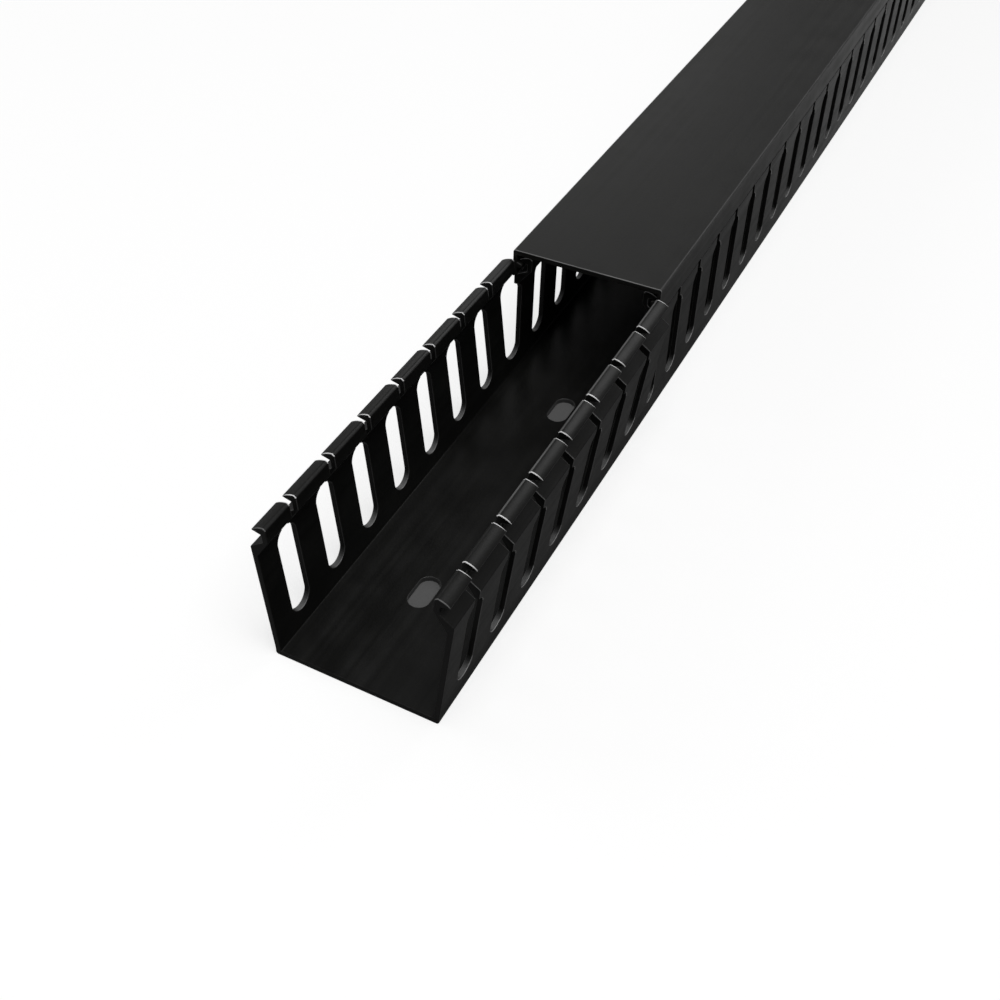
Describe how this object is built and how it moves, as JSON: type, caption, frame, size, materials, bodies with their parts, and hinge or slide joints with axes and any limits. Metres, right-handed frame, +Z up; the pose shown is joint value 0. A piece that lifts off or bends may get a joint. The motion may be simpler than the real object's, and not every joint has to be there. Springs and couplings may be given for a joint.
{
  "type": "slotted wiring duct",
  "caption": "Open-slot wiring duct: a U-shaped plastic base with slotted finger walls, oblong mounting holes in its floor and a flanged clip-on cover slid partly back.",
  "frame": {"origin": "middle of the base's underside: halfway between the walls and halfway along the base", "axes": "+X across the duct, +Y along the duct away from its open end, +Z up from the floor to the cover"},
  "size_m": [0.063, 1.1535, 0.053],
  "materials": {
    "base_plastic": "satin black rigid extruded plastic",
    "cover_plastic": "satin black rigid extruded plastic"
  },
  "bodies": {
    "base": {"base": "base_plastic"},
    "cover": {"cover": "cover_plastic"}
  },
  "joints": [
    {"name": "cover_slide", "type": "slide", "parent": "base", "child": "cover", "axis": [0, 1, 0], "range_m": [0, 0.34]}
  ]
}
